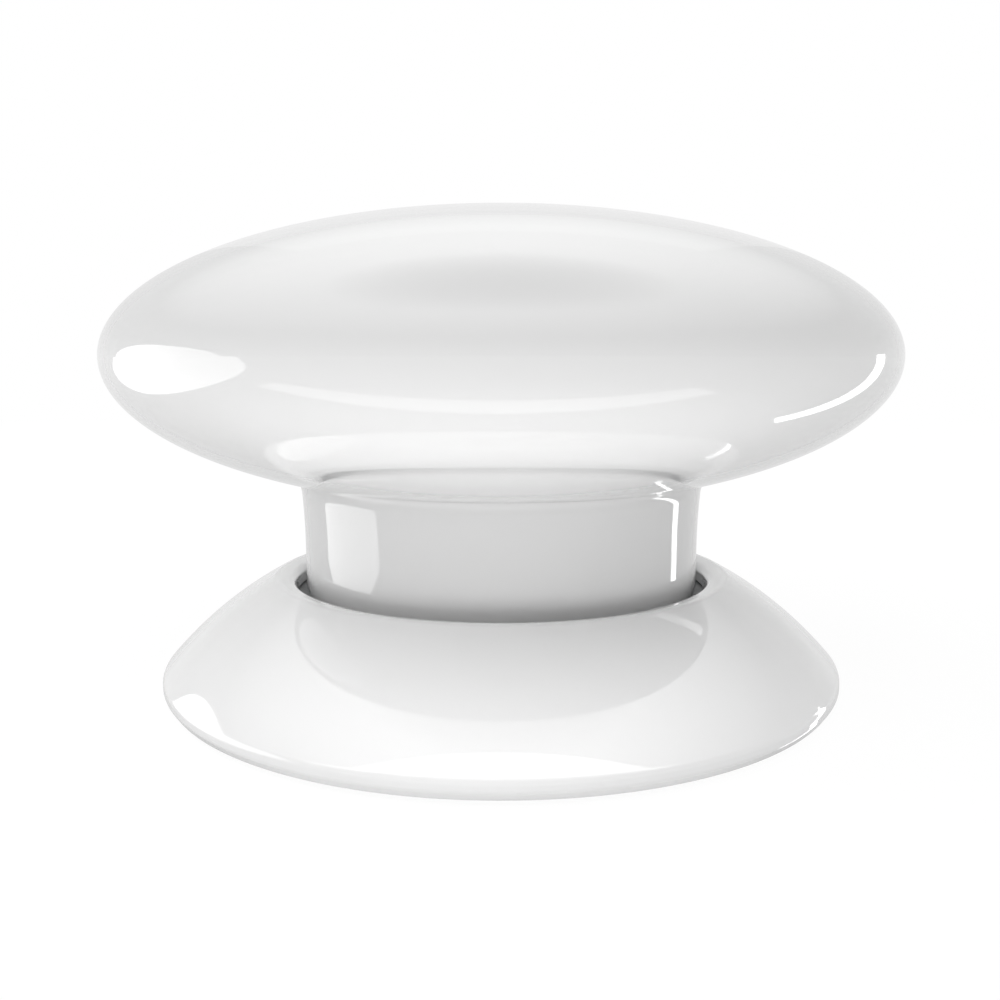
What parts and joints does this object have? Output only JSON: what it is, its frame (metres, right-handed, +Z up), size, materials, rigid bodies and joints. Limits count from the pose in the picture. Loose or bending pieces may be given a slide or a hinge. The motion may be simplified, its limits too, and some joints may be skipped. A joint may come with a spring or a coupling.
{
  "type": "smart button",
  "caption": "Mushroom-shaped wireless press button: a lens cap on a stem that slides into a low round base, which twists off its stuck mounting plate.",
  "frame": {"origin": "centre of the adhesive pad's sticky face, which lies on the surface that the button is stuck to", "axes": "+Z up through the cap along the press axis, -Y towards the viewer of the picture"},
  "size_m": [0.046, 0.046, 0.028],
  "materials": {
    "cap_white": "smooth high gloss, moulded white",
    "base_white": "smooth high gloss, moulded white",
    "plate_plastic": "satin moulded white",
    "pad_foam": "soft foam with a tacky face",
    "frame_plastic": "satin moulded",
    "screw_steel": "zinc plated",
    "soft_rubber": "soft silicone",
    "spring_steel": "drawn wire",
    "cell_steel": "brushed can",
    "contact_metal": "plated strip",
    "board_green": "solder mask",
    "chip_black": "moulded epoxy",
    "led_clear": "clear resin",
    "capacitor_tan": "fired ceramic",
    "plunger_plastic": "moulded"
  },
  "bodies": {
    "foot": {"mounting_plate": "plate_plastic", "adhesive_pad": "pad_foam"},
    "base": {"base_shell": "base_white", "inner_frame": "frame_plastic", "frame_screws": "screw_steel", "damping_ring": "soft_rubber", "coin_cell": "cell_steel", "negative_contact": "contact_metal", "positive_contact": "contact_metal", "main_board": "board_green", "board_screws": "screw_steel", "radio_chip": "chip_black", "crystal": "cell_steel", "status_led": "led_clear", "capacitors": "capacitor_tan", "antenna": "contact_metal", "switch_body": "chip_black", "switch_legs": "contact_metal"},
    "button": {"cap_top_shell": "cap_white", "cap_under_shell": "cap_white", "retaining_ring": "frame_plastic", "return_spring": "spring_steel"},
    "plunger": {"switch_plunger": "plunger_plastic"}
  },
  "joints": [
    {"name": "base_twist", "type": "hinge", "parent": "foot", "child": "base", "pos_m": [0, 0, 0], "axis": [0, 0, 1], "range_deg": [0, 35]},
    {"name": "cap_press", "type": "slide", "parent": "base", "child": "button", "axis": [0, 0, -1], "range_m": [0, 0.0008], "stiffness_N_per_m": 800, "springref_m": -0.0015, "deforming": ["return_spring"]},
    {"name": "switch_press", "type": "slide", "parent": "base", "child": "plunger", "axis": [0, 0, -1], "range_m": [0, 0.0008]}
  ],
  "couplings": [
    {"joint": "switch_press", "follows": "cap_press", "ratio": 1}
  ]
}
